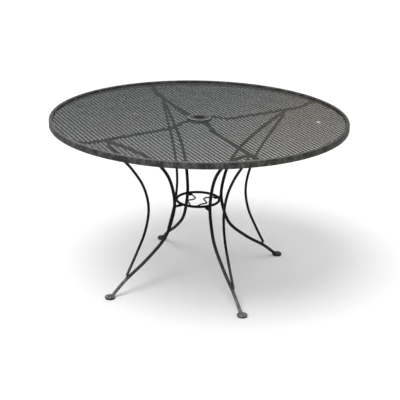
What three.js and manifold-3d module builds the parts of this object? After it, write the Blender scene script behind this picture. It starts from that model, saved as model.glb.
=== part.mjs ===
// A round wrought-steel umbrella table with a mesh top, in millimetres.
// +Z is up, and the origin is on the floor below the middle of the top.
import * as THREE from "three";
import { mergeVertices } from "three/addons/utils/BufferGeometryUtils.js";
import Module from "manifold-3d";

const wasm = await Module();
wasm.setup();

// Driving dimensions of the whole table
const tableDiameter = 1219;
const tableHeight = 711;
const clearance = 0.3;
const overrun = 20;

// Where each leg stands round the table, in degrees from +X
const legDegrees = { back_right: 48.9, back_left: 128.4, front_left: 231.3, front_right: 311.4 };

// The panels of the mesh, each between two legs
const panelSides = {
  right: ["front_right", "back_right"],
  back: ["back_right", "back_left"],
  left: ["back_left", "front_left"],
  front: ["front_left", "front_right"],
};

// Rim: a formed steel channel, open below, that holds the edge of the mesh
const rimHeight = 25.4;
const rimWidth = 16;
const rimWall = 2;
const rimCornerRadius = 5;
const rimInnerDrop = 9;

// Mesh top: expanded steel in four panels that meet over the arms, drawn as a coarse net of diamond gaps
// with its long way turned from +X
const meshThickness = 2.4;
const meshTuck = 7;
const meshHoleDiameter = 80;
const netLongPitch = 150;
const netShortPitch = 60;
const netStrand = 8;
const netEdgeBand = 5;
const netHubBand = 4;
const netSeamBand = 6;
const netDegrees = 41;

// Umbrella collar and the hub ring below it
const umbrellaBore = 46;
const collarWall = 3;
const collarFlangeDiameter = 94;
const collarFlangeThickness = 4.5;
const collarEdgeRadius = 2;
const collarNeckDrop = 12;
const hubRingDiameter = 100;

// Under-frame arms: flat bar, set down between its ends so that it clears the mesh
const armWidth = 19.05;
const armThickness = 4.76;
const armDrop = 18;
const armEndLength = 10;
const armBendLength = 90;

// Leg rods, with their bends in the upright plane of the leg
const mainRodDiameter = 13.5;
const shortRodDiameter = 11;
const footReach = 431;
const waistReach = 117.5;
const waistHeight = 347.5;
const mainTopReach = 445;
const shortWaistReach = 244.6;
const shortWaistHeight = 355;
const lowerWeldHeight = 72;
const upperWeldDrop = 8;

// How far out and how high each bend lies, as shares of the way from the waist to the rod's end,
// and of the rise from the lower end to the upper one
const mainLowerShares = [[0.775, 0.173], [0.439, 0.374], [0.149, 0.604], [0.04, 0.82]];
const mainUpperShares = [[0.026, 0.19], [0.108, 0.403], [0.258, 0.585], [0.472, 0.737], [0.755, 0.89]];
const shortLowerShares = [[0.547, 0.324], [0.154, 0.653]];
const shortUpperShares = [[0.119, 0.313], [0.422, 0.61], [0.706, 0.807], [0.862, 0.915]];

// Ring brace at the waist, the lugs that join it to the legs and the two bent wires that steady the pole
const ringDiameter = 189.5;
const ringBarDiameter = 11;
const lugWidth = 12.7;
const lugThickness = 6.35;
const gripWireDiameter = 6;

// Bends of the grip wires, as shares of the ring's centre-line radius, from back to front
const leftGripShares = [
  [-0.62, 0.78], [-0.37, 0.43], [-0.17, 0.14], [-0.2, -0.06],
  [-0.35, -0.22], [-0.38, -0.42], [-0.24, -0.62], [-0.07, -1],
];
const rightGripShares = [
  [0.8, 0.6], [0.5, 0.47], [0.3, 0.34], [0.25, 0.14],
  [0.4, -0.1], [0.52, -0.33], [0.33, -0.58], [0.2, -0.98],
];

// Foot: a domed steel cup on a plastic glide
const footDiameter = 42;
const footEdgeHeight = 4;
const footDomeHeight = 5;
const footCrownDiameter = 19;
const footShoulderShare = 0.7;
const glideDiameter = 38;
const glideThickness = 3;

// Fineness of the round shapes
const rimSegments = 72;
const collarSegments = 32;
const ringSegments = 40;
const footSegments = 24;
const arcSteps = 3;
const armBendSteps = 6;
const rodSides = 8;
const wireSides = 6;
const rodSteps = 30;
const wireSteps = 36;

// Heights and radii that follow from the sizes above
const tableRadius = tableDiameter / 2;
const rimInnerRadius = tableRadius - rimWidth;
const meshTop = tableHeight - rimInnerDrop - clearance;
const meshUnderside = meshTop - meshThickness;
const meshRadius = rimInnerRadius + meshTuck;
const armTop = meshUnderside - clearance;
const armUnderside = armTop - armThickness;
const armSeat = armUnderside - armDrop;
const collarBoreRadius = umbrellaBore / 2;
const collarNeckRadius = collarBoreRadius + collarWall;
const ringRadius = (ringDiameter - ringBarDiameter) / 2;
const cupUnderside = glideThickness + clearance;

const paint = new THREE.MeshStandardMaterial({ color: 0x2c2d2c, roughness: 0.6, metalness: 0.3 });
const meshPaint = new THREE.MeshStandardMaterial({ color: 0x3c3d3c, roughness: 0.65, metalness: 0.3 });
const plastic = new THREE.MeshStandardMaterial({ color: 0x141414, roughness: 0.8, metalness: 0 });

// A closed geometry as a solid that can be cut.
function solidOf(geometry) {
  const bare = geometry.clone();
  bare.deleteAttribute("normal");
  bare.deleteAttribute("uv");
  const merged = mergeVertices(bare);
  return new wasm.Manifold(
    new wasm.Mesh({
      numProp: 3,
      vertProperties: new Float32Array(merged.attributes.position.array),
      triVerts: new Uint32Array(merged.index.array),
    }),
  );
}

// A cut solid as a geometry again.
function geometryOf(solid) {
  const { vertProperties, triVerts } = solid.getMesh();
  const geometry = new THREE.BufferGeometry();
  geometry.setAttribute("position", new THREE.BufferAttribute(vertProperties, 3));
  geometry.setIndex(new THREE.BufferAttribute(triVerts, 1));
  geometry.computeVertexNormals();
  return geometry;
}

// A round shape about +Z from an outline of [radius, height] points.
function turned(outline, segments) {
  const points = outline.map(([radius, height]) => new THREE.Vector2(radius, height));
  return new THREE.LatheGeometry(points, segments).rotateX(Math.PI / 2);
}

// Points of a quarter arc from one angle to the next, about a centre.
function arc(centreX, centreY, radius, from, to) {
  return Array.from({ length: arcSteps + 1 }, (_, i) => {
    const angle = from + ((to - from) * i) / arcSteps;
    return [centreX + radius * Math.cos(angle), centreY + radius * Math.sin(angle)];
  });
}

// A round bar along a smooth curve through the given points.
function bar(points, diameter, sides, steps) {
  const radius = diameter / 2;
  const section = new THREE.Shape(
    Array.from({ length: sides }, (_, i) => {
      const angle = (2 * Math.PI * i) / sides;
      return new THREE.Vector2(radius * Math.cos(angle), radius * Math.sin(angle));
    }),
  );
  const path = new THREE.CatmullRomCurve3(points, false, "centripetal");
  return new THREE.ExtrudeGeometry(section, { steps, bevelEnabled: false, extrudePath: path });
}

// A flat round plate between two heights, for cuts.
function plate(radius, low, high) {
  return turned([[0, low], [radius, low], [radius, high], [0, high]], rimSegments);
}

// Outline of the rim channel, from the bottom of its outer wall round to the inside.
function rimOutline() {
  const inset = rimCornerRadius;
  const inner = rimCornerRadius - rimWall;
  const crown = tableHeight - rimCornerRadius;
  const low = tableHeight - rimHeight;
  const lip = tableHeight - rimInnerDrop;
  return [
    [tableRadius, low],
    ...arc(tableRadius - inset, crown, inset, 0, Math.PI / 2),
    ...arc(rimInnerRadius + inset, crown, inset, Math.PI / 2, Math.PI),
    [rimInnerRadius, lip],
    [rimInnerRadius + rimWall, lip],
    ...arc(rimInnerRadius + inset, crown, inner, Math.PI, Math.PI / 2),
    ...arc(tableRadius - inset, crown, inner, Math.PI / 2, 0),
    [tableRadius - rimWall, low],
    [tableRadius, low],
  ];
}

// One diamond gap of the net about a centre.
function diamond(x, y) {
  const spacing = (netLongPitch * netShortPitch) / Math.hypot(netLongPitch, netShortPitch);
  const open = 1 - netStrand / spacing;
  const halfLong = (netLongPitch * open) / 2;
  const halfShort = (netShortPitch * open) / 2;
  return new THREE.Shape([
    new THREE.Vector2(x + halfLong, y),
    new THREE.Vector2(x, y + halfShort),
    new THREE.Vector2(x - halfLong, y),
    new THREE.Vector2(x, y - halfShort),
  ]);
}

// Staggered rows of diamonds, each with its middle between the collar and the rim.
function diamondRows() {
  const outerReach = rimInnerRadius - netShortPitch / 4;
  const innerReach = collarFlangeDiameter / 2;
  const rows = Math.ceil(outerReach / (netShortPitch / 2));
  const columns = Math.ceil(outerReach / netLongPitch);
  const diamonds = [];
  for (let row = -rows; row <= rows; row += 1) {
    const shift = row % 2 === 0 ? 0 : netLongPitch / 2;
    for (let column = -columns; column <= columns; column += 1) {
      const x = column * netLongPitch + shift;
      const y = (row * netShortPitch) / 2;
      const reach = Math.hypot(x, y);
      if (reach < outerReach && reach > innerReach) diamonds.push(diamond(x, y));
    }
  }
  return diamonds;
}

// The space between the upright planes of two legs, kept back from both of them, for cuts.
function wedge([fromLeg, toLeg], inset, low, high) {
  const from = THREE.MathUtils.degToRad(legDegrees[fromLeg]);
  const to = from + THREE.MathUtils.euclideanModulo(THREE.MathUtils.degToRad(legDegrees[toLeg]) - from, 2 * Math.PI);
  const middle = (from + to) / 2;
  const apex = inset / Math.sin((to - from) / 2);
  const corner = (angle, reach) =>
    new THREE.Vector2(
      apex * Math.cos(middle) + reach * Math.cos(angle),
      apex * Math.sin(middle) + reach * Math.sin(angle),
    );
  const shape = new THREE.Shape([
    corner(middle, 0),
    corner(from, tableDiameter),
    corner(middle, 2 * tableDiameter),
    corner(to, tableDiameter),
  ]);
  return solidOf(new THREE.ExtrudeGeometry(shape, { depth: high - low, bevelEnabled: false }).translate(0, 0, low));
}

// One panel of the mesh, between two neighbouring legs.
function meshPanelGeometry(legs) {
  const low = meshUnderside - overrun;
  const high = meshTop + overrun;
  const disc = solidOf(plate(meshRadius, meshUnderside, meshTop)).intersect(wedge(legs, clearance / 2, low, high));
  const gaps = new THREE.ExtrudeGeometry(diamondRows(), { depth: high - low, bevelEnabled: false });
  const field = solidOf(plate(rimInnerRadius - netEdgeBand, low - overrun, high + overrun));
  const middle = solidOf(plate(collarFlangeDiameter / 2 + netHubBand, low - overrun, high + overrun));
  const hole = solidOf(plate(meshHoleDiameter / 2, low, high));
  gaps.translate(0, 0, low).rotateZ(THREE.MathUtils.degToRad(netDegrees));
  const inside = wedge(legs, netSeamBand, low - overrun, high + overrun);
  const openings = solidOf(gaps).intersect(field).intersect(inside).subtract(middle);
  return geometryOf(disc.subtract(openings).subtract(hole));
}

// Outline of the flanged collar, from the foot of its bore up and over the flange.
function collarOutline() {
  const flangeRadius = collarFlangeDiameter / 2;
  const seat = meshTop + clearance;
  const crown = seat + collarFlangeThickness;
  const low = armUnderside - collarNeckDrop;
  return [
    [collarBoreRadius, low],
    [collarNeckRadius, low],
    [collarNeckRadius, seat],
    [flangeRadius, seat],
    ...arc(flangeRadius - collarEdgeRadius, crown - collarEdgeRadius, collarEdgeRadius, 0, Math.PI / 2),
    ...arc(collarBoreRadius + collarEdgeRadius, crown - collarEdgeRadius, collarEdgeRadius, Math.PI / 2, Math.PI),
    [collarBoreRadius, low],
  ];
}

function hubRingOutline() {
  const inner = collarNeckRadius + clearance;
  const outer = hubRingDiameter / 2;
  return [[inner, armUnderside], [outer, armUnderside], [outer, armTop], [inner, armTop], [inner, armUnderside]];
}

// The arm's upper line where it bends down, from a level end in the given direction.
function armBend(end, direction) {
  return Array.from({ length: armBendSteps + 1 }, (_, i) => {
    const share = i / armBendSteps;
    const height = armTop - armDrop * THREE.MathUtils.smoothstep(share, 0, 1);
    return [end + direction * (armEndLength + armBendLength * share), height];
  });
}

// Arm: from the hub ring out to the inside of the rim's outer wall.
function armGeometry() {
  const start = hubRingDiameter / 2 + clearance;
  const wallRadius = tableRadius - rimWall - clearance;
  const end = Math.sqrt(wallRadius ** 2 - (armWidth / 2) ** 2) - clearance;
  const upper = [[start, armTop], ...armBend(start, 1), ...armBend(end, -1).reverse(), [end, armTop]];
  const lower = upper.map(([reach, height]) => [reach, height - armThickness]).reverse();
  const side = new THREE.Shape([...upper, ...lower].map(([reach, height]) => new THREE.Vector2(reach, height)));
  const geometry = new THREE.ExtrudeGeometry(side, { depth: armWidth, bevelEnabled: false });
  return geometry.rotateX(Math.PI / 2).translate(0, armWidth / 2, 0);
}

// Outline of the foot's cup, which the clearance can grow to cut the rod to it.
function cupOutline(grow) {
  const edge = footDiameter / 2 + grow;
  const low = cupUnderside - grow;
  const shoulder = cupUnderside + footEdgeHeight + grow;
  const crown = shoulder + footDomeHeight;
  const crownRadius = footCrownDiameter / 2 + grow;
  const bulge = crownRadius + (edge - crownRadius) * footShoulderShare;
  const bulgeHeight = shoulder + footDomeHeight * footShoulderShare;
  return [[0, low], [edge, low], [edge, shoulder], [bulge, bulgeHeight], [crownRadius, crown], [0, crown]];
}

function glideOutline() {
  const radius = glideDiameter / 2;
  return [[0, 0], [radius, 0], [radius, glideThickness], [0, glideThickness]];
}

// A point in the leg's upright plane.
const bend = (reach, height) => new THREE.Vector3(reach, 0, height);

// Points between two ends, by their shares of the way in reach and in height.
function bends(shares, fromReach, toReach, fromHeight, toHeight) {
  return shares.map(([reachShare, heightShare]) =>
    bend(fromReach + (toReach - fromReach) * reachShare, fromHeight + (toHeight - fromHeight) * heightShare),
  );
}

const mainBends = [
  bend(footReach, 0),
  ...bends(mainLowerShares, waistReach, footReach, 0, waistHeight),
  bend(waistReach, waistHeight),
  ...bends(mainUpperShares, waistReach, mainTopReach, waistHeight, armSeat),
  bend(mainTopReach, armSeat),
];

// Where an end of the short rod lies against the outer side of the main rod, at a height on the main rod.
function weldBend(weldHeight) {
  const path = new THREE.CatmullRomCurve3(mainBends, false, "centripetal");
  let at = 0;
  const step = 1 / (rodSteps * rodSides);
  while (at < 1 && path.getPoint(at).z < weldHeight) at += step;
  const point = path.getPoint(at);
  const tangent = path.getTangent(at);
  const offset = (mainRodDiameter + shortRodDiameter) / 2 + clearance;
  return bend(point.x + tangent.z * offset, point.z - tangent.x * offset);
}

const lowerWeld = weldBend(lowerWeldHeight);
const upperWeld = weldBend(armSeat - upperWeldDrop);
const shortBends = [
  lowerWeld,
  ...bends(shortLowerShares, shortWaistReach, lowerWeld.x, lowerWeld.z, shortWaistHeight),
  bend(shortWaistReach, shortWaistHeight),
  ...bends(shortUpperShares, shortWaistReach, upperWeld.x, shortWaistHeight, upperWeld.z),
  upperWeld,
];

// The main rod, cut flat against the underside of the arm and cut to the foot's cup.
function mainRodGeometry() {
  const rod = solidOf(bar(mainBends, mainRodDiameter, rodSides, rodSteps));
  const above = solidOf(plate(tableRadius, armSeat - clearance, tableHeight));
  const below = solidOf(plate(tableRadius, -overrun, cupUnderside));
  const cup = solidOf(turned(cupOutline(clearance), footSegments).translate(footReach, 0, 0));
  return geometryOf(rod.subtract(above).subtract(below).subtract(cup));
}

function ringOutline(grow) {
  const radius = ringBarDiameter / 2 + grow;
  return Array.from({ length: rodSides + 1 }, (_, i) => {
    const angle = (2 * Math.PI * i) / rodSides;
    return [ringRadius + radius * Math.cos(angle), waistHeight + radius * Math.sin(angle)];
  });
}

// Lug: a short flat bar under the ring, from its inner side out to the main rod, which it is cut to.
function lugGeometry() {
  const start = ringRadius - lugWidth / 2;
  const top = waistHeight - ringBarDiameter / 2 - clearance;
  const lug = new THREE.BoxGeometry(waistReach - start, lugWidth, lugThickness);
  lug.translate((start + waistReach) / 2, 0, top - lugThickness / 2);
  const rod = bar(mainBends, mainRodDiameter + 2 * clearance, rodSides, rodSteps);
  return geometryOf(solidOf(lug).subtract(solidOf(rod)));
}

// A grip wire, cut where it meets the ring.
function gripWireGeometry(shares) {
  const points = shares.map(([x, y]) => new THREE.Vector3(x * ringRadius, y * ringRadius, waistHeight));
  const ring = solidOf(turned(ringOutline(clearance), ringSegments));
  return geometryOf(solidOf(bar(points, gripWireDiameter, wireSides, wireSteps)).subtract(ring));
}

function piece(name, geometry, material) {
  const mesh = new THREE.Mesh(geometry, material);
  mesh.name = name;
  return mesh;
}

const group = new THREE.Group();
group.add(
  piece("rim_band", turned(rimOutline(), rimSegments), paint),
  piece("umbrella_collar", turned(collarOutline(), collarSegments), paint),
  piece("hub_ring", turned(hubRingOutline(), collarSegments), paint),
  piece("ring_brace", turned(ringOutline(0), ringSegments), paint),
  piece("left_grip_wire", gripWireGeometry(leftGripShares), paint),
  piece("right_grip_wire", gripWireGeometry(rightGripShares), paint),
);

for (const [side, legs] of Object.entries(panelSides)) {
  group.add(piece(`mesh_${side}`, meshPanelGeometry(legs), meshPaint));
}

// The four legs, each turned about the table's axis
const mainRod = mainRodGeometry();
const shortRod = bar(shortBends, shortRodDiameter, rodSides, rodSteps);
const cup = turned(cupOutline(0), footSegments);
const glide = turned(glideOutline(), footSegments);
for (const [place, angle] of Object.entries(legDegrees)) {
  const leg = new THREE.Group();
  leg.rotation.z = THREE.MathUtils.degToRad(angle);
  const foot = new THREE.Group();
  foot.position.x = footReach;
  foot.add(piece(`${place}_foot_cup`, cup, paint), piece(`${place}_glide`, glide, plastic));
  leg.add(
    piece(`${place}_arm`, armGeometry(), paint),
    piece(`${place}_main_rod`, mainRod, paint),
    piece(`${place}_short_rod`, shortRod, paint),
    piece(`${place}_ring_lug`, lugGeometry(), paint),
    foot,
  );
  group.add(leg);
}

export default group;
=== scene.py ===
import math

import bmesh
import bpy
from mathutils import Matrix, Vector


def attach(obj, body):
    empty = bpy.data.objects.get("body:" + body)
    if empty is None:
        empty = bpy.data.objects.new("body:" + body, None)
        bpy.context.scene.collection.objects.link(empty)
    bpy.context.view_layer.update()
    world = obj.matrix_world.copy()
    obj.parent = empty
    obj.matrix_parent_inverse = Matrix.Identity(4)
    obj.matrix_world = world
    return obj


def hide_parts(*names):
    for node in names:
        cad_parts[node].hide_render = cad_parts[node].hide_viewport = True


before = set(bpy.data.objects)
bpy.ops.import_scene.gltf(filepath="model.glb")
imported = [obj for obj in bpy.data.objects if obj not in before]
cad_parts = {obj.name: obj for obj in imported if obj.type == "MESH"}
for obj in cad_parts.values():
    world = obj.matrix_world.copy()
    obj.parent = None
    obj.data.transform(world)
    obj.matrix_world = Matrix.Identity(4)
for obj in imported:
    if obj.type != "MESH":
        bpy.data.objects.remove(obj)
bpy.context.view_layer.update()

# Rim: a band of sheet steel, rolled to a channel that is open below and welded to a ring.
# Its charcoal paint has chalked outside and is chipped along the crest and the face.
# The crest is lightened with dust and a painted highlight, strongest at the front.
TABLE_RADIUS = 0.6095
TABLE_HEIGHT = 0.711
RIM_HEIGHT = 0.0254
RIM_WIDTH = 0.016
RIM_WALL = 0.002
RIM_CORNER = 0.005
RIM_INNER_DROP = 0.009
RIM_SEGMENTS = 288
ARC_STEPS = 8
SHARP_DEGREES = 35
MERGE_DISTANCE = 1e-6
RIM_BROWN_FROM = 0.35
RIM_FRONT_HIGHLIGHT_TO = -0.25
CHARCOAL = (0.032, 0.035, 0.035)
BROWN_CHARCOAL = (0.034, 0.032, 0.022)
CHALK = (0.098, 0.1, 0.098)
SOOT = (0.01, 0.01, 0.01)
CREST_DUST_AND_HIGHLIGHT = (0.2, 0.2, 0.195)
CHIPPED = (0.19, 0.19, 0.18)


def added(tree, kind, settings, inputs):
    """A node with its settings and inputs. An input takes a value, a link or a list of links."""
    made = tree.nodes.new(kind)
    for key, value in settings.items():
        setattr(made, key, value)
    for key, value in inputs.items():
        socket = made.inputs[key]
        for part in value if isinstance(value, list) else [value]:
            plain = part.socket if isinstance(part, Maths) else part
            if isinstance(plain, bpy.types.NodeSocket):
                tree.links.new(plain, socket)
            else:
                socket.default_value = plain
    return made


class Maths:
    """A socket that Python's own operators work on. Each adds a Math node."""

    def __init__(self, tree, socket):
        self.tree = tree
        self.socket = socket

    def applied(self, operation, *others):
        """Another Math node's result, with this value as its first input."""
        made = added(self.tree, "ShaderNodeMath", {"operation": operation}, dict(enumerate([self, *others])))
        return Maths(self.tree, made.outputs[0])

    def __add__(self, other):
        return self.applied("ADD", other)

    def __sub__(self, other):
        return self.applied("SUBTRACT", other)

    def __mul__(self, other):
        return self.applied("MULTIPLY", other)

    def __truediv__(self, other):
        return self.applied("DIVIDE", other)

    def __radd__(self, other):
        return self + other

    def __rsub__(self, other):
        return self * -1.0 + other

    def __rmul__(self, other):
        return self * other

    def __rtruediv__(self, other):
        return self.applied("POWER", -1.0) * other

    def above(self, edge, softness):
        """0 below the edge and 1 above it, with a soft step between."""
        limits = {"Value": self, "From Min": edge - softness, "From Max": edge + softness}
        made = added(self.tree, "ShaderNodeMapRange", {"interpolation_type": "SMOOTHSTEP"}, limits)
        return Maths(self.tree, made.outputs[0])


class Paint:
    """A material whose patterns read the place on the table, in metres."""

    def __init__(self, name):
        self.material = bpy.data.materials.new(name)
        self.material.use_nodes = True
        self.tree = self.material.node_tree
        self.place = added(self.tree, "ShaderNodeTexCoord", {}, {}).outputs["Object"]

    def node(self, kind, settings, inputs):
        return added(self.tree, kind, settings, inputs)

    def noise(self, per_metre, detail, roughness, stretch=(1.0, 1.0, 1.0)):
        """Cloudy noise from 0 to 1, with about so many clouds in a metre."""
        place = self.node("ShaderNodeMapping", {}, {"Vector": self.place, "Scale": stretch}).outputs[0]
        inputs = {"Vector": place, "Scale": per_metre, "Detail": detail, "Roughness": roughness}
        return Maths(self.tree, self.node("ShaderNodeTexNoise", {}, inputs).outputs["Fac"])

    def reach(self, centre=(0.0, 0.0)):
        """How far out a place is from an upright axis."""
        inputs = {0: self.place, 1: (1.0, 1.0, 0.0)}
        level = self.node("ShaderNodeVectorMath", {"operation": "MULTIPLY"}, inputs)
        inputs = {0: level.outputs[0], 1: (*centre, 0.0)}
        far = self.node("ShaderNodeVectorMath", {"operation": "DISTANCE"}, inputs)
        return Maths(self.tree, far.outputs["Value"])

    def spots(self, centres, radius):
        """1 inside small round spots about these places, and 0 elsewhere."""
        return sum(1.0 - self.reach(centre).above(radius, softness=radius * 0.3) for centre in centres)

    def along(self, axis, vector=None):
        """The place on the table along an axis, or another vector's part along it."""
        parts = self.node("ShaderNodeSeparateXYZ", {}, {"Vector": vector or self.place})
        return Maths(self.tree, parts.outputs[axis])

    def facing_up(self):
        """1 on faces that look up, and 0 on upright ones."""
        return self.along("Z", self.node("ShaderNodeNewGeometry", {}, {}).outputs["Normal"])

    def mix(self, amount, first, second):
        """A colour between two others, which are links or red, green and blue."""
        sides = [(*side, 1.0) if isinstance(side, tuple) else side for side in (first, second)]
        inputs = {0: amount, 6: sides[0], 7: sides[1]}
        return self.node("ShaderNodeMix", {"data_type": "RGBA"}, inputs).outputs[2]

    def finish(self, colour, roughness, height, relief, depth, specular):
        """The finished material, with a relief that follows a height and is at most a depth in metres."""
        surface = self.tree.nodes["Principled BSDF"]
        bump = self.node("ShaderNodeBump", {}, {"Strength": relief, "Distance": depth, "Height": height})
        for key, value in {"Base Color": colour, "Roughness": roughness, "Normal": bump.outputs[0]}.items():
            self.tree.links.new(value.socket if isinstance(value, Maths) else value, surface.inputs[key])
        surface.inputs["Specular IOR Level"].default_value = specular
        return self.material


def rim_finish():
    paint = Paint("weathered charcoal paint")
    blotches = paint.noise(per_metre=38.0, detail=5.0, roughness=0.65)
    streaks = paint.noise(per_metre=90.0, detail=4.0, roughness=0.6, stretch=(1.0, 1.0, 0.3))
    grain = paint.noise(per_metre=420.0, detail=2.0, roughness=0.6)
    chip = paint.noise(per_metre=120.0, detail=6.0, roughness=0.7).above(0.6, softness=0.02)
    soot = paint.noise(per_metre=23.0, detail=5.0, roughness=0.65).above(0.52, softness=0.05)
    right = paint.along("X").above(RIM_BROWN_FROM, softness=0.12)
    front = 1.0 - paint.along("Y").above(RIM_FRONT_HIGHLIGHT_TO, softness=0.25)
    crest = paint.facing_up().above(0.7, softness=0.25)
    chalk = blotches.above(0.53, softness=0.06) * 0.6 + streaks.above(0.56, softness=0.05) * 0.4
    ground = paint.mix(right, CHARCOAL, BROWN_CHARCOAL)
    paler = paint.mix(chalk * (1.0 - right * 0.5), ground, CHALK)
    sooty = paint.mix(soot * 0.8, paler, SOOT)
    # Upward faces of the crest get dust and a painted highlight, strongest at the front of the table.
    tops_lightened = paint.mix(crest * (front * 0.45 + 0.2), sooty, CREST_DUST_AND_HIGHLIGHT)
    final_colour = paint.mix(chip * 0.6, tops_lightened, CHIPPED)
    height = grain * 0.35 + blotches * 0.5 - chip * 0.6
    return paint.finish(final_colour, 0.6 + chalk * 0.14, height, relief=0.5, depth=0.0012, specular=0.25)


def arc(centre, radius, start, end):
    """Points of an arc, as distance from the axis and height."""
    angles = [start + (end - start) * step / ARC_STEPS for step in range(ARC_STEPS + 1)]
    return [(centre[0] + radius * math.cos(angle), centre[1] + radius * math.sin(angle)) for angle in angles]


def dressed(name, data, material, sharp_degrees=SHARP_DEGREES):
    """A finished mesh as a piece of the table, which rides with it."""
    data.materials.clear()
    data.materials.append(material)
    data.shade_smooth()
    data.set_sharp_from_angle(angle=math.radians(sharp_degrees))
    piece = bpy.data.objects.new(name, data)
    bpy.context.scene.collection.objects.link(piece)
    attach(piece, "root")
    return piece


def shown(name, mesh, material):
    """A bmesh as a finished piece with its faces outwards."""
    bmesh.ops.remove_doubles(mesh, verts=mesh.verts, dist=MERGE_DISTANCE)
    bmesh.ops.recalc_face_normals(mesh, faces=mesh.faces)
    data = bpy.data.meshes.new(name)
    mesh.to_mesh(data)
    mesh.free()
    return dressed(name, data, material)


def turned(name, outline, segments, material, centre=(0.0, 0.0)):
    """A round piece about an upright axis, from a closed outline of radius and height."""
    mesh = bmesh.new()
    rows = []
    for segment in range(segments):
        angle = 2 * math.pi * segment / segments
        across, along = math.cos(angle), math.sin(angle)
        rows.append([mesh.verts.new((centre[0] + r * across, centre[1] + r * along, z)) for r, z in outline])
    for one, following in zip(rows, rows[1:] + rows[:1]):
        for place in range(len(outline)):
            ahead = (place + 1) % len(outline)
            if outline[place][0] > 0 or outline[ahead][0] > 0:
                mesh.faces.new((one[place], following[place], following[ahead], one[ahead]))
    return shown(name, mesh, material)


corner_height = TABLE_HEIGHT - RIM_CORNER
rim_inner = TABLE_RADIUS - RIM_WIDTH
outer_corner = (TABLE_RADIUS - RIM_CORNER, corner_height)
inner_corner = (rim_inner + RIM_CORNER, corner_height)
half_wall = RIM_WALL / 2
inner_lip = (rim_inner + half_wall, TABLE_HEIGHT - RIM_INNER_DROP + half_wall)
outer_lip = (TABLE_RADIUS - half_wall, TABLE_HEIGHT - RIM_HEIGHT + half_wall)
rim_outline = [
    *arc(outer_corner, RIM_CORNER, 0, math.pi / 2),
    *arc(inner_corner, RIM_CORNER, math.pi / 2, math.pi),
    *arc(inner_lip, half_wall, math.pi, 2 * math.pi),
    *arc(inner_corner, RIM_CORNER - RIM_WALL, math.pi, math.pi / 2),
    *arc(outer_corner, RIM_CORNER - RIM_WALL, math.pi / 2, 0),
    *arc(outer_lip, half_wall, math.pi, 2 * math.pi),
]
rim_paint = rim_finish()
rim = turned("rim_shell", rim_outline, RIM_SEGMENTS, rim_paint)
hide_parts("rim_band")

# Mesh: half-inch expanded steel sheet, slit and stretched into long diamonds, tucked into the rim.
# Two families of thin strands cross at wider bonds. Matt charcoal paint, dusty, and browner on the right.
MESH_DEPTH = 0.0024
STRAND_THICKNESS = 0.0016
MESH_EDGE_RADIUS = 0.5995
MESH_HOLE_RADIUS = 0.04
STRAND_PITCH = 0.0121
STRAND_WIDTH = 0.0042
STRAND_EDGE = 0.0004
HALF_CROSSING_DEGREES = 21.7
LONG_WAY_DEGREES = 41.1
BOND_LENGTH = 0.008
BOND_WIDTH = 0.006
BOND_PROUD = 0.0001
BOND_CORNERS = 6
GAP = 0.0003
MESH_BROWN_FROM = 0.26
MESH_CHARCOAL = (0.058, 0.062, 0.064)
MESH_BROWN = (0.078, 0.068, 0.050)
MESH_DUST = (0.15, 0.15, 0.145)
PALE_SPOT = (0.7, 0.7, 0.68)
LARGE_SPECK_RADIUS = 0.008
LARGE_SPECKS = [(0.4718, 0.1104)]
SMALL_SPECK_RADIUS = 0.0024
SMALL_SPECKS = [(-0.2717, -0.027), (-0.2857, -0.0726)]
mesh_top = TABLE_HEIGHT - RIM_INNER_DROP - GAP
mesh_underside = mesh_top - MESH_DEPTH


def mesh_finish():
    paint = Paint("matt charcoal paint with dust")
    clouds = paint.noise(per_metre=2.6, detail=3.0, roughness=0.6)
    patches = paint.noise(per_metre=14.0, detail=4.0, roughness=0.6)
    grain = paint.noise(per_metre=520.0, detail=2.0, roughness=0.6)
    right = paint.along("X").above(MESH_BROWN_FROM, softness=0.22)
    faded = clouds.above(0.45, softness=0.15) * 0.5 + 0.5
    brown = right * faded + clouds.above(0.6, softness=0.1) * 0.15
    dust = paint.facing_up().above(0.8, softness=0.2) * patches.above(0.48, softness=0.2)
    base = paint.mix(brown, MESH_CHARCOAL, MESH_BROWN)
    tops_lightened = paint.mix(dust * 0.35, base, MESH_DUST)
    # Small near-white spots are painted at given places on the mesh.
    specks = paint.spots(LARGE_SPECKS, LARGE_SPECK_RADIUS) + paint.spots(SMALL_SPECKS, SMALL_SPECK_RADIUS)
    spotted = paint.mix(specks, tops_lightened, PALE_SPOT)
    height = grain + patches * 0.4
    return paint.finish(spotted, 0.66 + patches * 0.15, height, relief=0.4, depth=0.0006, specular=0.12)


def grown(tree, sizes, base=None):
    """The mesh that a tree of geometry nodes makes, with its named inputs set first."""
    holder = bpy.data.objects.new("holder", base or bpy.data.meshes.new("holder"))
    bpy.context.scene.collection.objects.link(holder)
    maker = holder.modifiers.new("maker", "NODES")
    maker.node_group = tree
    for socket in tree.interface.items_tree:
        if socket.in_out == "INPUT" and socket.name in sizes:
            maker[socket.identifier] = sizes[socket.name]
    shapes = bpy.context.evaluated_depsgraph_get()
    made = bpy.data.meshes.new_from_object(holder.evaluated_get(shapes))
    holder.modifiers.clear()
    bpy.data.objects.remove(holder)
    return made


def grower(name, sizes):
    """An empty tree of geometry nodes with named inputs, and its inputs as values."""
    tree = bpy.data.node_groups.new(name, "GeometryNodeTree")
    tree.interface.new_socket(name="Geometry", in_out="INPUT", socket_type="NodeSocketGeometry")
    for size, kind in sizes.items():
        tree.interface.new_socket(name=size, in_out="INPUT", socket_type="NodeSocket" + kind)
    tree.interface.new_socket(name="Geometry", in_out="OUTPUT", socket_type="NodeSocketGeometry")
    entry = tree.nodes.new("NodeGroupInput")
    values = {size: Maths(tree, entry.outputs[size]) for size in sizes}
    values["Geometry"] = entry.outputs["Geometry"]
    return tree, values


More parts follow.
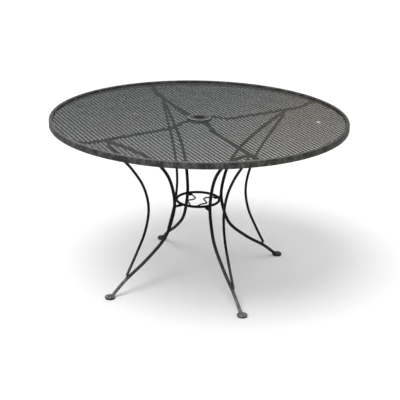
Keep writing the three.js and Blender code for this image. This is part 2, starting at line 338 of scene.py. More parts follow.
def ended(tree, shape, material):
    """The end of a tree: instances made real, and the material set."""
    real = added(tree, "GeometryNodeRealizeInstances", {}, {"Geometry": shape})
    painted = added(tree, "GeometryNodeSetMaterial", {}, {"Geometry": real.outputs[0], "Material": material})
    added(tree, "NodeGroupOutput", {}, {"Geometry": painted.outputs[0]})


def moved(tree, shape, **change):
    """The shape with a translation, a rotation or both."""
    return added(tree, "GeometryNodeTransform", {}, {"Geometry": shape, **change}).outputs[0]


def joined(tree, *shapes):
    return added(tree, "GeometryNodeJoinGeometry", {}, {"Geometry": list(shapes)}).outputs[0]


def vector(tree, x, y, z):
    """Three values as one vector."""
    return added(tree, "ShaderNodeCombineXYZ", {}, {0: x, 1: y, 2: z}).outputs[0]


def expanded_mesh_tree(material):
    """The whole mesh top: two crossing families of strands, and the bonds where they cross."""
    tree, size = grower("expanded mesh", {
        "Radius": "Float", "Hole Radius": "Float", "Strands": "Int", "Strand Pitch": "Float",
        "Strand Width": "Float", "Thickness": "Float", "Edge": "Float", "Half Crossing": "Float",
        "Long Way": "Float", "Middle": "Float", "Bonds Long": "Int", "Bonds Short": "Int",
        "Bond Length": "Float", "Bond Width": "Float", "Bond Proud": "Float", "Bond Corners": "Int",
    })
    place = added(tree, "GeometryNodeInputPosition", {}, {}).outputs[0]
    parts = added(tree, "ShaderNodeSeparateXYZ", {}, {"Vector": place})
    across = Maths(tree, parts.outputs["Y"])
    radius, hole, pitch = size["Radius"], size["Hole Radius"], size["Strand Pitch"]
    thickness, half_crossing = size["Thickness"], size["Half Crossing"]
    end = (radius * radius - across * across).applied("SQRT")
    start = (hole * hole - across * across).applied("MAXIMUM", 0.0).applied("SQRT")
    # One flat strand a metre long, with eased edges
    line = added(tree, "GeometryNodeCurvePrimitiveLine", {}, {"End": (1.0, 0.0, 0.0)})
    section = added(
        tree, "GeometryNodeCurvePrimitiveQuadrilateral", {},
        {"Width": size["Strand Width"], "Height": thickness},
    )
    eased = added(tree, "GeometryNodeFilletCurve", {}, {"Curve": section.outputs[0], "Radius": size["Edge"]})
    strand = added(
        tree, "GeometryNodeCurveToMesh", {},
        {"Curve": line.outputs[0], "Profile Curve": eased.outputs[0], "Fill Caps": True},
    )
    # Half of a family: a row of strands, each from the middle or the hole out to the rim
    row = added(
        tree, "GeometryNodeMeshLine", {"mode": "OFFSET"},
        {"Count": size["Strands"], "Offset": vector(tree, 0.0, pitch, 0.0),
         "Start Location": vector(tree, 0.0, (size["Strands"] - 1.0) * pitch * -0.5, 0.0)},
    )
    laid = added(
        tree, "GeometryNodeInstanceOnPoints", {},
        {"Points": row.outputs[0], "Instance": strand.outputs[0],
         "Scale": vector(tree, end - start, 1.0, 1.0)},
    )
    half = added(
        tree, "GeometryNodeTranslateInstances", {},
        {"Instances": laid.outputs[0], "Translation": vector(tree, start, 0.0, 0.0),
         "Local Space": False},
    ).outputs[0]
    family = joined(tree, half, moved(tree, half, Rotation=(0.0, 0.0, math.pi)))
    left_family = moved(tree, family, Rotation=vector(tree, 0.0, 0.0, half_crossing))
    right_family = moved(tree, family, Rotation=vector(tree, 0.0, 0.0, half_crossing * -1.0))
    # The bonds where the families cross, as two grids that lie between each other
    long_pitch = pitch / half_crossing.applied("SINE")
    short_pitch = pitch / half_crossing.applied("COSINE")
    grid = added(
        tree, "GeometryNodeMeshGrid", {},
        {"Size X": long_pitch * (size["Bonds Long"] - 1.0),
         "Size Y": short_pitch * (size["Bonds Short"] - 1.0),
         "Vertices X": size["Bonds Long"], "Vertices Y": size["Bonds Short"]},
    ).outputs[0]
    between = moved(tree, grid, Translation=vector(tree, long_pitch * 0.5, short_pitch * 0.5, 0.0))
    length = added(tree, "ShaderNodeVectorMath", {"operation": "LENGTH"}, {0: place})
    far = Maths(tree, length.outputs["Value"])
    outside = far.applied("GREATER_THAN", radius - size["Bond Length"] * 0.5) + far.applied("LESS_THAN", hole)
    crossings = added(
        tree, "GeometryNodeDeleteGeometry", {"domain": "POINT"},
        {"Geometry": joined(tree, grid, between), "Selection": outside},
    )
    plate = added(
        tree, "GeometryNodeMeshCylinder", {},
        {"Vertices": size["Bond Corners"], "Radius": 0.5, "Depth": thickness + size["Bond Proud"] * 2.0},
    )
    bonds = added(
        tree, "GeometryNodeInstanceOnPoints", {},
        {"Points": crossings.outputs[0], "Instance": plate.outputs[0],
         "Scale": vector(tree, size["Bond Length"], size["Bond Width"], 1.0)},
    )
    whole = joined(tree, left_family, right_family, bonds.outputs[0])
    place_up, turn = vector(tree, 0.0, 0.0, size["Middle"]), vector(tree, 0.0, 0.0, size["Long Way"])
    ended(tree, moved(tree, whole, Translation=place_up, Rotation=turn), material)
    return tree


mesh_paint = mesh_finish()
half_crossing = math.radians(HALF_CROSSING_DEGREES)
mesh_sizes = {
    "Radius": MESH_EDGE_RADIUS,
    "Hole Radius": MESH_HOLE_RADIUS,
    "Strand Pitch": STRAND_PITCH,
    "Strands": 2 * math.floor(MESH_EDGE_RADIUS / STRAND_PITCH) + 1,
    "Strand Width": STRAND_WIDTH,
    "Thickness": STRAND_THICKNESS,
    "Edge": STRAND_EDGE,
    "Half Crossing": half_crossing,
    "Long Way": math.radians(LONG_WAY_DEGREES),
    "Middle": (mesh_top + mesh_underside) / 2,
    "Bond Length": BOND_LENGTH,
    "Bond Width": BOND_WIDTH,
    "Bond Proud": BOND_PROUD,
    "Bond Corners": BOND_CORNERS,
    "Bonds Long": 2 * math.ceil(MESH_EDGE_RADIUS / STRAND_PITCH * math.sin(half_crossing)) + 1,
    "Bonds Short": 2 * math.ceil(MESH_EDGE_RADIUS / STRAND_PITCH * math.cos(half_crossing)) + 1,
}
strands = dressed("mesh_strands", grown(expanded_mesh_tree(mesh_paint), mesh_sizes), mesh_paint)
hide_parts("mesh_front", "mesh_right", "mesh_back", "mesh_left")

# Umbrella collar: a pressed steel ring on a short tube, set through the middle of the mesh.
# Its top dips between the outer edge and the lip of the hole, and its grey paint carries a painted highlight
# on the crest.
BORE_RADIUS = 0.023
NECK_RADIUS = 0.026
FLANGE_RADIUS = 0.047
FLANGE_HEIGHT = 0.0045
FLANGE_EDGE = 0.002
LIP_EDGE = 0.002
FLANGE_DIP = 0.0015
CREST_TURN = math.pi * 0.6
CREST_REACH = 0.0438
NECK_DROP = 0.012
ARM_THICKNESS = 0.00476
COLLAR_SEGMENTS = 96
COLLAR_GREY = (0.05, 0.052, 0.05)
COLLAR_PALE_GREY = (0.085, 0.087, 0.083)
COLLAR_SIDE_SHADE = (0.03, 0.03, 0.03)
COLLAR_CREST_HIGHLIGHT = (0.36, 0.365, 0.355)
arm_top = mesh_underside - GAP
arm_underside = arm_top - ARM_THICKNESS


def collar_finish():
    paint = Paint("grey paint with painted highlight and shade")
    patches = paint.noise(per_metre=60.0, detail=5.0, roughness=0.6)
    grain = paint.noise(per_metre=600.0, detail=2.0, roughness=0.6)
    up = paint.facing_up()
    crest = paint.reach().above(CREST_REACH, softness=0.0012) * up.above(0.3, softness=0.2)
    grey = paint.mix(patches.above(0.5, softness=0.15), COLLAR_GREY, COLLAR_PALE_GREY)
    # Faces that do not look up, the sides and the bore, are darkened with painted shade.
    shaded_sides = paint.mix(up.above(0.2, softness=0.2), COLLAR_SIDE_SHADE, grey)
    # The outer crest of the top gets a painted highlight, pale grey and patchy.
    final_colour = paint.mix(crest * (patches.above(0.4, softness=0.2) * 0.4 + 0.6), shaded_sides, COLLAR_CREST_HIGHLIGHT)
    height = grain + patches * 0.5
    return paint.finish(final_colour, 0.5 + patches * 0.2, height, relief=0.4, depth=0.0005, specular=0.3)


collar_seat = mesh_top + GAP
collar_crown = collar_seat + FLANGE_HEIGHT
collar_outline = [
    (BORE_RADIUS, arm_underside - NECK_DROP),
    (NECK_RADIUS, arm_underside - NECK_DROP),
    (NECK_RADIUS, collar_seat),
    (FLANGE_RADIUS, collar_seat),
    *arc((FLANGE_RADIUS - FLANGE_EDGE, collar_crown - FLANGE_EDGE), FLANGE_EDGE, 0, CREST_TURN),
    ((FLANGE_RADIUS + BORE_RADIUS) / 2, collar_crown - FLANGE_DIP),
    *arc((BORE_RADIUS + LIP_EDGE, collar_crown - LIP_EDGE), LIP_EDGE, math.pi - CREST_TURN, math.pi),
]
collar = turned("umbrella_ring", collar_outline, COLLAR_SEGMENTS, collar_finish())
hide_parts("umbrella_collar")

# Hub ring: a washer of flat steel under the mesh, which the four arms are welded to.
# It is painted black with the rest of the frame, with grey speckles where the paint has gone.
HUB_RADIUS = 0.05
HUB_EDGE = 0.0008
CHALK_HEIGHT = 0.16
FOOT_WEAR_HEIGHT = 0.075
FRONT_CHALK_TO = -0.06
FRAME_BLACK = (0.0055, 0.0058, 0.0058)
FRAME_CHALK_AND_HIGHLIGHT = (0.26, 0.265, 0.26)
FRAME_SPECKLE = (0.2, 0.195, 0.18)


def frame_finish():
    paint = Paint("satin black paint")
    patches = paint.noise(per_metre=30.0, detail=4.0, roughness=0.6)
    grain = paint.noise(per_metre=480.0, detail=2.0, roughness=0.6)
    speckle = paint.noise(per_metre=260.0, detail=3.0, roughness=0.6).above(0.62, softness=0.02)
    streaky = paint.noise(per_metre=130.0, detail=3.0, roughness=0.6, stretch=(1.0, 1.0, 0.2))
    streaks = streaky.above(0.5, softness=0.06)
    above_floor = paint.along("Z")
    low = 1.0 - above_floor.above(CHALK_HEIGHT, softness=0.14)
    foot = 1.0 - above_floor.above(FOOT_WEAR_HEIGHT, softness=0.012)
    front = 1.0 - paint.along("Y").above(FRONT_CHALK_TO, softness=0.1) * 0.7
    up = paint.facing_up().above(0.25, softness=0.25)
    chalk = low * (patches.above(0.42, softness=0.2) * 0.2 + 0.14) + foot * (streaks * 0.4 + 0.08)
    # Chalk on the low frame is stronger on faces that look up: a painted highlight on the tops of cups and
    # rods over real chalk, leaving their sides darker.
    paler = paint.mix(chalk * front * (up * 0.7 + 0.3), FRAME_BLACK, FRAME_CHALK_AND_HIGHLIGHT)
    final_colour = paint.mix(speckle * 0.6 * (low * 0.8 + 0.2), paler, FRAME_SPECKLE)
    height = grain + patches * 0.6 - speckle * 0.6
    return paint.finish(final_colour, 0.42 + patches * 0.2, height, relief=0.35, depth=0.0006, specular=0.08)


frame_paint = frame_finish()
hub_outline = [
    *arc((HUB_RADIUS - HUB_EDGE, arm_underside + HUB_EDGE), HUB_EDGE, -math.pi / 2, 0),
    *arc((HUB_RADIUS - HUB_EDGE, arm_top - HUB_EDGE), HUB_EDGE, 0, math.pi / 2),
    (NECK_RADIUS + GAP, arm_top),
    (NECK_RADIUS + GAP, arm_underside),
]
hub = turned("hub_washer", hub_outline, COLLAR_SEGMENTS, frame_paint)
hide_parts("hub_ring")

# Arms: four flat steel bars from the hub ring to the rim, set down between their ends to clear the mesh.
# Their long edges are eased as rolled bar is, and the rods of each leg are welded under them.
LEG_DEGREES = {"back_right": 48.9, "back_left": 128.4, "front_left": 231.3, "front_right": 311.4}
ARM_WIDTH = 0.01905
ARM_DROP = 0.018
ARM_END_LENGTH = 0.01
ARM_BEND_LENGTH = 0.09
ARM_BEND_STEPS = 10
BAR_EDGE = 0.0007


def flat_bar(name, upper_line, width, thickness, degrees):
    """A flat bar with eased long edges along a line of reach and height, pointing out from the axis."""
    right, top, low = width / 2 - BAR_EDGE, -BAR_EDGE, BAR_EDGE - thickness
    section = [
        *arc((right, top), BAR_EDGE, 0, math.pi / 2),
        *arc((-right, top), BAR_EDGE, math.pi / 2, math.pi),
        *arc((-right, low), BAR_EDGE, math.pi, 1.5 * math.pi),
        *arc((right, low), BAR_EDGE, 1.5 * math.pi, 2 * math.pi),
    ]
    mesh = bmesh.new()
    rows = [[mesh.verts.new((reach, y, height + z)) for y, z in section] for reach, height in upper_line]
    for one, following in zip(rows, rows[1:]):
        for place in range(len(section)):
            mesh.faces.new((one[place - 1], one[place], following[place], following[place - 1]))
    mesh.faces.new(rows[0])
    mesh.faces.new(rows[-1])
    bmesh.ops.transform(mesh, matrix=Matrix.Rotation(math.radians(degrees), 4, "Z"), verts=mesh.verts)
    return shown(name, mesh, frame_paint)


def arm_bend(end, direction):
    """The arm's upper line where it bends down from a level end."""
    line = []
    for step in range(ARM_BEND_STEPS + 1):
        share = step / ARM_BEND_STEPS
        reach = end + direction * (ARM_END_LENGTH + ARM_BEND_LENGTH * share)
        line.append((reach, arm_top - ARM_DROP * share * share * (3 - 2 * share)))
    return line


arm_start = HUB_RADIUS + GAP
wall_reach = TABLE_RADIUS - RIM_WALL - GAP
arm_end = math.sqrt(wall_reach**2 - (ARM_WIDTH / 2) ** 2) - GAP
arm_line = [
    (arm_start, arm_top), *arm_bend(arm_start, 1), *reversed(arm_bend(arm_end, -1)), (arm_end, arm_top)
]
for leg, degrees in LEG_DEGREES.items():
    arm = flat_bar(leg + "_arm_bar", arm_line, ARM_WIDTH, ARM_THICKNESS, degrees)
    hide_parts(leg + "_arm")

# Legs: on each a thick rod bent from the foot in to the ring and out to the arm, and a thin rod outside it.
# Both are solid round steel, bent cold and welded to each other low down and again below the arm.
MAIN_RADIUS = 0.00675
SHORT_RADIUS = 0.0055
FOOT_REACH = 0.431
WAIST_REACH = 0.1175
WAIST_HEIGHT = 0.3475
MAIN_TOP_REACH = 0.445
SHORT_WAIST_REACH = 0.2446
SHORT_WAIST_HEIGHT = 0.355
LOWER_WELD_HEIGHT = 0.072
UPPER_WELD_DROP = 0.008
MAIN_LOWER_SHARES = [(0.775, 0.173), (0.439, 0.374), (0.149, 0.604), (0.04, 0.82)]
MAIN_UPPER_SHARES = [(0.026, 0.19), (0.108, 0.403), (0.258, 0.585), (0.472, 0.737), (0.755, 0.89)]
SHORT_LOWER_SHARES = [(0.547, 0.324), (0.154, 0.653)]
SHORT_UPPER_SHARES = [(0.119, 0.313), (0.422, 0.61), (0.706, 0.807), (0.862, 0.915)]
BEND_STEPS = 10
ROD_SIDES = 24
FOOT_CUT = 0.0075


def bends(shares, start, end, from_reach, to_reach):
    """Points between two ends, by their shares of the way in reach and in height."""
    points = []
    for reach_share, height_share in shares:
        reach = from_reach + (to_reach - from_reach) * reach_share
        points.append(Vector((reach, 0.0, start + (end - start) * height_share)))
    return points


def smooth_path(points):
    """A smooth line through the points, even where they lie unevenly."""
    ends = [points[0] * 2 - points[1], *points, points[-1] * 2 - points[-2]]
    line = []
    for before, start, end, after in zip(ends, ends[1:], ends[2:], ends[3:]):
        pairs = ((before, start), (start, end), (end, after))
        first, middle, last = ((b - a).length ** 0.5 for a, b in pairs)
        straight = (end - start) / middle
        leave = ((start - before) / first - (end - before) / (first + middle) + straight) * middle
        arrive = (straight - (after - start) / (middle + last) + (after - end) / last) * middle
        for step in range(BEND_STEPS):
            t = step / BEND_STEPS
            line.append(
                start * (2 * t**3 - 3 * t**2 + 1) + leave * (t**3 - 2 * t**2 + t)
                + end * (3 * t**2 - 2 * t**3) + arrive * (t**3 - t**2)
            )
    return [*line, points[-1]]


def beside(path, height, distance):
    """The point at a distance outside the path, where the path passes a height."""
    for one, following in zip(path, path[1:]):
        if following.z >= height:
            break
    share = (height - one.z) / (following.z - one.z)
    way = (following - one).normalized()
    return one.lerp(following, share) + Vector((way.z, 0.0, -way.x)) * distance


def curve_of(points, closed=False):
    """A line of straight steps through the points."""
    data = bpy.data.curves.new("path", "CURVE")
    data.dimensions = "3D"
    line = data.splines.new("POLY")
    line.points.add(len(points) - 1)
    for point, place in zip(line.points, points):
        point.co = (*place, 1.0)
    line.use_cyclic_u = closed
    return data


def round_bar_tree(material):
    """A round bar along the tree's own curve, closed at its ends."""
    tree, size = grower("round bar", {"Radius": "Float", "Sides": "Int"})
    section = added(
        tree, "GeometryNodeCurvePrimitiveCircle", {"mode": "RADIUS"},
        {"Resolution": size["Sides"], "Radius": size["Radius"]},
    )
    bar = added(
        tree, "GeometryNodeCurveToMesh", {},
        {"Curve": size["Geometry"], "Profile Curve": section.outputs[0], "Fill Caps": True},
    )
    ended(tree, bar.outputs[0], material)
    return tree


def cut_level(data, height, keep_below):
    """The mesh cut flat at a height and closed there."""
    mesh = bmesh.new()
    mesh.from_mesh(data)
    bmesh.ops.remove_doubles(mesh, verts=mesh.verts, dist=MERGE_DISTANCE)
    way = (0.0, 0.0, 1.0 if keep_below else -1.0)
    everything = [*mesh.verts, *mesh.edges, *mesh.faces]
    level = (0.0, 0.0, height)
    cut = bmesh.ops.bisect_plane(mesh, geom=everything, plane_co=level, plane_no=way, clear_outer=True)
    cut_edges = [part for part in cut["geom_cut"] if isinstance(part, bmesh.types.BMEdge)]
    bmesh.ops.contextual_create(mesh, geom=cut_edges)
    mesh.to_mesh(data)
    mesh.free()


arm_seat = arm_underside - ARM_DROP
round_bar = round_bar_tree(frame_paint)
main_path = smooth_path([
    Vector((FOOT_REACH, 0.0, 0.0)),
    *bends(MAIN_LOWER_SHARES, 0.0, WAIST_HEIGHT, WAIST_REACH, FOOT_REACH),
    Vector((WAIST_REACH, 0.0, WAIST_HEIGHT)),
    *bends(MAIN_UPPER_SHARES, WAIST_HEIGHT, arm_seat, WAIST_REACH, MAIN_TOP_REACH),
    Vector((MAIN_TOP_REACH, 0.0, arm_seat)),
])
weld_offset = MAIN_RADIUS + SHORT_RADIUS + GAP
lower_weld = beside(main_path, LOWER_WELD_HEIGHT, weld_offset)
upper_weld = beside(main_path, arm_seat - UPPER_WELD_DROP, weld_offset)
short_path = smooth_path([
    lower_weld,
    *bends(SHORT_LOWER_SHARES, lower_weld.z, SHORT_WAIST_HEIGHT, SHORT_WAIST_REACH, lower_weld.x),
    Vector((SHORT_WAIST_REACH, 0.0, SHORT_WAIST_HEIGHT)),
    *bends(SHORT_UPPER_SHARES, SHORT_WAIST_HEIGHT, upper_weld.z, SHORT_WAIST_REACH, upper_weld.x),
    upper_weld,
])


def turned_to(leg, points):
    """The points of a leg that looks along +X, turned to where the leg stands."""
    turn = Matrix.Rotation(math.radians(LEG_DEGREES[leg]), 3, "Z")
    return [turn @ point for point in points]


for leg in LEG_DEGREES:
    main_curve = curve_of(turned_to(leg, main_path))
    main_mesh = grown(round_bar, {"Radius": MAIN_RADIUS, "Sides": ROD_SIDES}, main_curve)
    cut_level(main_mesh, arm_seat - GAP, True)
    cut_level(main_mesh, FOOT_CUT, False)
    main_rod = dressed(leg + "_main_bar", main_mesh, frame_paint)
    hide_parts(leg + "_main_rod")
    short_curve = curve_of(turned_to(leg, short_path))
    short_mesh = grown(round_bar, {"Radius": SHORT_RADIUS, "Sides": ROD_SIDES}, short_curve)
    short_rod = dressed(leg + "_short_bar", short_mesh, frame_paint)
    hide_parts(leg + "_short_rod")

# Ring brace: a round bar bent to a ring at the waist, with a short flat lug welded under it out to each leg.
# Two thin wires bent in zigzags cross the ring and steady the umbrella's pole between them.
RING_BAR_RADIUS = 0.0055
RING_RADIUS = 0.08925
RING_STEPS = 120
LUG_WIDTH = 0.0127
LUG_THICKNESS = 0.00635
WIRE_RADIUS = 0.003
WIRE_SIDES = 16
LEFT_WIRE_SHARES = [
    (-0.62, 0.78), (-0.37, 0.43), (-0.17, 0.14), (-0.2, -0.06),
    (-0.35, -0.22), (-0.38, -0.42), (-0.24, -0.62), (-0.07, -1),
]
RIGHT_WIRE_SHARES = [
    (0.8, 0.6), (0.5, 0.47), (0.3, 0.34), (0.25, 0.14),
    (0.4, -0.1), (0.52, -0.33), (0.33, -0.58), (0.2, -0.98),
]

around = [2 * math.pi * step / RING_STEPS for step in range(RING_STEPS)]
ring_path = [(RING_RADIUS * math.cos(angle), RING_RADIUS * math.sin(angle), WAIST_HEIGHT) for angle in around]
ring_mesh = grown(round_bar, {"Radius": RING_BAR_RADIUS, "Sides": ROD_SIDES}, curve_of(ring_path, True))
ring = dressed("waist_ring", ring_mesh, frame_paint)
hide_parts("ring_brace")
for name, shares, node in (
    ("left_zigzag_wire", LEFT_WIRE_SHARES, "left_grip_wire"),
    ("right_zigzag_wire", RIGHT_WIRE_SHARES, "right_grip_wire"),
):
    wire_path = smooth_path([Vector((x * RING_RADIUS, y * RING_RADIUS, WAIST_HEIGHT)) for x, y in shares])
    wire_mesh = grown(round_bar, {"Radius": WIRE_RADIUS, "Sides": WIRE_SIDES}, curve_of(wire_path))
    wire = dressed(name, wire_mesh, frame_paint)
    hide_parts(node)
lug_start = RING_RADIUS - LUG_WIDTH / 2
lug_top = WAIST_HEIGHT - RING_BAR_RADIUS - GAP
lug_end = beside(main_path, lug_top - LUG_THICKNESS / 2, -MAIN_RADIUS).x - GAP
lug_line = [(lug_start, lug_top), (lug_end, lug_top)]
for leg, degrees in LEG_DEGREES.items():
    lug = flat_bar(leg + "_lug_bar", lug_line, LUG_WIDTH, LUG_THICKNESS, degrees)
    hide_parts(leg + "_ring_lug")

# Feet: a pressed steel cup welded over the end of each thick rod, on a plastic glide that spares the patio.
# The cup is domed and black with chalk and a painted highlight on top and a darker edge; the glide is a plain
# black disc with a worn rim.
CUP_RADIUS = 0.021
CUP_EDGE_HEIGHT = 0.004
CUP_DOME_HEIGHT = 0.005
CUP_CROWN_RADIUS = 0.0095
CUP_EDGE = 0.001
GLIDE_RADIUS = 0.019
GLIDE_THICKNESS = 0.003
GLIDE_EDGE = 0.0008
FOOT_SEGMENTS = 48
DOME_FULLNESS = 0.8
GLIDE_BLACK = (0.012, 0.012, 0.012)
GLIDE_SCUFF = (0.05, 0.05, 0.048)


def glide_finish():
    paint = Paint("black moulded plastic")
    scuffs = paint.noise(per_metre=150.0, detail=4.0, roughness=0.6)
    grain = paint.noise(per_metre=900.0, detail=2.0, roughness=0.5)
    scuffed = paint.mix(scuffs.above(0.58, softness=0.1) * 0.5, GLIDE_BLACK, GLIDE_SCUFF)
    height = grain + scuffs
    return paint.finish(scuffed, 0.5 + scuffs * 0.2, height, relief=0.3, depth=0.0003, specular=0.4)


cup_low = GLIDE_THICKNESS + GAP
cup_shoulder = cup_low + CUP_EDGE_HEIGHT
cup_crown = cup_shoulder + CUP_DOME_HEIGHT
dome_run = CUP_RADIUS - CUP_CROWN_RADIUS
quarter = [math.pi / 2 * step / ARC_STEPS for step in range(1, ARC_STEPS)]
dome = [
    (
        CUP_CROWN_RADIUS + dome_run * math.cos(turn) ** DOME_FULLNESS,
        cup_shoulder + CUP_DOME_HEIGHT * math.sin(turn),
    )
    for turn in quarter
]
cup_outline = [
    (0.0, cup_low),
    *arc((CUP_RADIUS - CUP_EDGE, cup_low + CUP_EDGE), CUP_EDGE, -math.pi / 2, 0),
    (CUP_RADIUS, cup_shoulder),
    *dome,
    (CUP_CROWN_RADIUS, cup_crown),
    (0.0, cup_crown),
]
glide_outline = [
    (0.0, 0.0),
    *arc((GLIDE_RADIUS - GLIDE_EDGE, GLIDE_EDGE), GLIDE_EDGE, -math.pi / 2, 0),
    *arc((GLIDE_RADIUS - GLIDE_EDGE, GLIDE_THICKNESS - GLIDE_EDGE), GLIDE_EDGE, 0, math.pi / 2),
    (0.0, GLIDE_THICKNESS),
]
glide_plastic = glide_finish()
for leg in LEG_DEGREES:
    foot = turned_to(leg, [Vector((FOOT_REACH, 0.0, 0.0))])[0][:2]
    cup = turned(leg + "_cup", cup_outline, FOOT_SEGMENTS, frame_paint, foot)
    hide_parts(leg + "_foot_cup")
    glide = turned(leg + "_glide_disc", glide_outline, FOOT_SEGMENTS, glide_plastic, foot)
    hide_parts(leg + "_glide")

# Welds: beads laid by hand where the rods, lugs, arms and cups meet, painted over in black.
# Each is a row of small overlapping drops along the joint.
BEAD_RADIUS = 0.0019
BEAD_STEP = 0.0016
BEAD_LEAST_SWELL = 0.8
BEAD_MOST_SWELL = 1.15
BEAD_SHARP_DEGREES = 80
JOINT_STEPS = 16
ROD_SEAM_HALF_LENGTH = 0.008
ROD_SEAM_HALF_WIDTH = 0.0026
ROD_SEAM_RISE = 0.011
RING_SEAM_HALF_WIDTH = 0.004
RING_SEAM_SHARE = 0.9
LUG_END_SHARE = 0.6
CUP_WELD_INSET = 0.0125
CUP_WELD_HALF_LENGTH = 0.0095


def bead_tree(material):
    """A row of drops of uneven size along the tree's own curve."""
    tree, size = grower("weld bead", {"Radius": "Float", "Step": "Float", "Seed": "Int"})
    spaced = added(
        tree, "GeometryNodeCurveToPoints", {"mode": "LENGTH"},
        {"Curve": size["Geometry"], "Length": size["Step"]},
    )
    drop = added(tree, "GeometryNodeMeshIcoSphere", {}, {"Radius": size["Radius"], "Subdivisions": 2})
    swell = added(
        tree, "FunctionNodeRandomValue", {"data_type": "FLOAT"},
        {"Min": BEAD_LEAST_SWELL, "Max": BEAD_MOST_SWELL, "Seed": size["Seed"]},
    )
    drops = added(
        tree, "GeometryNodeInstanceOnPoints", {},
        {"Points": spaced.outputs["Points"], "Instance": drop.outputs[0], "Scale": swell.outputs["Value"]},
    )
    ended(tree, drops.outputs[0], material)
    return tree


def loop(centre, first, second):
    """An oval round a centre, from its two half axes."""
    angles = [2 * math.pi * step / JOINT_STEPS for step in range(JOINT_STEPS + 1)]
    return [centre + first * math.cos(angle) + second * math.sin(angle) for angle in angles]


def seams(path, height):
    """Two short beads along both sides of the line where the rods of a leg touch."""
    touch = beside(path, height, MAIN_RADIUS)
    near = [point for point in path if abs(point.z - height) < ROD_SEAM_RISE]
    half = (near[-1] - near[0]).normalized() * ROD_SEAM_HALF_LENGTH
    aside = Vector((0.0, ROD_SEAM_HALF_WIDTH, 0.0))
    return [[touch + half * along + aside * side for along in (-1, 0, 1)] for side in (-1, 1)]


def beaded(name, lines):
    """One piece of all the beads along some lines."""
    whole = bmesh.new()
    for number, line in enumerate(lines):
        part = grown(bead, {"Radius": BEAD_RADIUS, "Step": BEAD_STEP, "Seed": number}, curve_of(line))
        whole.from_mesh(part)
        bpy.data.meshes.remove(part)
    data = bpy.data.meshes.new(name)
    whole.to_mesh(data)
    whole.free()
    return dressed(name, data, frame_paint, BEAD_SHARP_DEGREES)


bead = bead_tree(frame_paint)
lug_up = Vector((0.0, 0.0, LUG_THICKNESS / 2))
lug_side = Vector((0.0, LUG_WIDTH / 2, 0.0))
ring_seams = [
    [Vector((reach, 0.0, lug_top)) + lug_side * share for share in (-RING_SEAM_SHARE, RING_SEAM_SHARE)]
    for reach in (RING_RADIUS - RING_SEAM_HALF_WIDTH, RING_RADIUS + RING_SEAM_HALF_WIDTH)
]
rod_side = Vector((0.0, MAIN_RADIUS, 0.0))
cup_weld = Vector((FOOT_REACH - CUP_WELD_INSET, 0.0, cup_crown))
joints = [
    loop(cup_weld, Vector((CUP_WELD_HALF_LENGTH, 0.0, 0.0)), rod_side),
    *ring_seams,
    loop(Vector((lug_end, 0.0, lug_top)) - lug_up, lug_up, lug_side * LUG_END_SHARE),
    *seams(main_path, LOWER_WELD_HEIGHT),
    *seams(main_path, arm_seat - UPPER_WELD_DROP),
]
for leg in LEG_DEGREES:
    beaded(leg + "_welds", [turned_to(leg, joint) for joint in joints])
wire_up = Vector((0.0, 0.0, WIRE_RADIUS))
wire_ends = [shares[place] for shares in (LEFT_WIRE_SHARES, RIGHT_WIRE_SHARES) for place in (0, -1)]
wire_loops = []
for x, y in wire_ends:
    outward = Vector((x, y, 0.0)).normalized()
    ring_side = Vector((-outward.y, outward.x, 0.0)) * WIRE_RADIUS
    middle = outward * (RING_RADIUS - RING_BAR_RADIUS) + Vector((0.0, 0.0, WAIST_HEIGHT))
    wire_loops.append(loop(middle, wire_up, ring_side))
beaded("wire_welds", wire_loops)

# Ground, light and camera: a pale floor under plain soft studio light.
# The camera looks down on the table from the front, a little to the right of it.
FLOOR_SIZE = 60
FLOOR_GLOW = 0.05
FLOOR_WHITE = (0.96, 0.96, 0.96, 1.0)
PURE_WHITE = (1.0, 1.0, 1.0, 1.0)
SUN_STRENGTH = 2.25
SUN_SPREAD_DEGREES = 32
SUN_DIRECTION = (0.11, 0.32, -0.7)
SKY_STRENGTH = 0.5
CAMERA_LENS = 92.81
CAMERA_SENSOR = 36
CAMERA_PLACE = (1.1253, -3.9063, 1.8542)
CAMERA_TURN_DEGREES = (69.625, -1.079, 16.345)


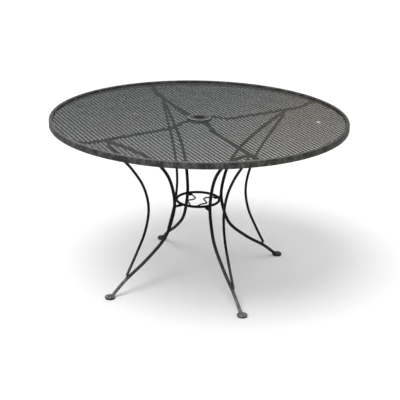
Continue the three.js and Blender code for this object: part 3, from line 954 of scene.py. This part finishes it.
def floor_finish():
    paint = Paint("pale floor")
    surface = paint.tree.nodes["Principled BSDF"]
    surface.inputs["Base Color"].default_value = FLOOR_WHITE
    surface.inputs["Roughness"].default_value = 1.0
    surface.inputs["Specular IOR Level"].default_value = 0.0
    glow = paint.node("ShaderNodeEmission", {}, {"Color": PURE_WHITE, "Strength": 1.0})
    rays = paint.node("ShaderNodeLightPath", {}, {})
    seen = Maths(paint.tree, rays.outputs["Is Camera Ray"]) * FLOOR_GLOW
    both = paint.node("ShaderNodeMixShader", {}, {0: seen, 1: surface.outputs[0], 2: glow.outputs[0]})
    output = paint.tree.nodes["Material Output"]
    paint.tree.links.new(both.outputs[0], output.inputs["Surface"])
    return paint.material


floor_mesh = bmesh.new()
bmesh.ops.create_grid(floor_mesh, x_segments=1, y_segments=1, size=FLOOR_SIZE / 2)
floor_data = bpy.data.meshes.new("floor")
floor_mesh.to_mesh(floor_data)
floor_mesh.free()
floor_data.materials.append(floor_finish())
floor = bpy.data.objects.new("floor", floor_data)
bpy.context.scene.collection.objects.link(floor)

sun_data = bpy.data.lights.new("soft sun", "SUN")
sun_data.energy = SUN_STRENGTH
sun_data.angle = math.radians(SUN_SPREAD_DEGREES)
sun = bpy.data.objects.new("soft sun", sun_data)
sun.rotation_euler = Vector(SUN_DIRECTION).to_track_quat("-Z", "Y").to_euler()
bpy.context.scene.collection.objects.link(sun)

world = bpy.data.worlds.new("studio")
bpy.context.scene.world = world
world.use_nodes = True
sky = world.node_tree.nodes["Background"]
sky.inputs["Color"].default_value = PURE_WHITE
sky.inputs["Strength"].default_value = SKY_STRENGTH

camera_data = bpy.data.cameras.new("camera")
camera_data.lens = CAMERA_LENS
camera_data.sensor_width = CAMERA_SENSOR
camera = bpy.data.objects.new("camera", camera_data)
camera.location = CAMERA_PLACE
camera.rotation_euler = [math.radians(turn) for turn in CAMERA_TURN_DEGREES]
bpy.context.scene.collection.objects.link(camera)
bpy.context.scene.camera = camera
bpy.context.scene.view_settings.view_transform = "Standard"
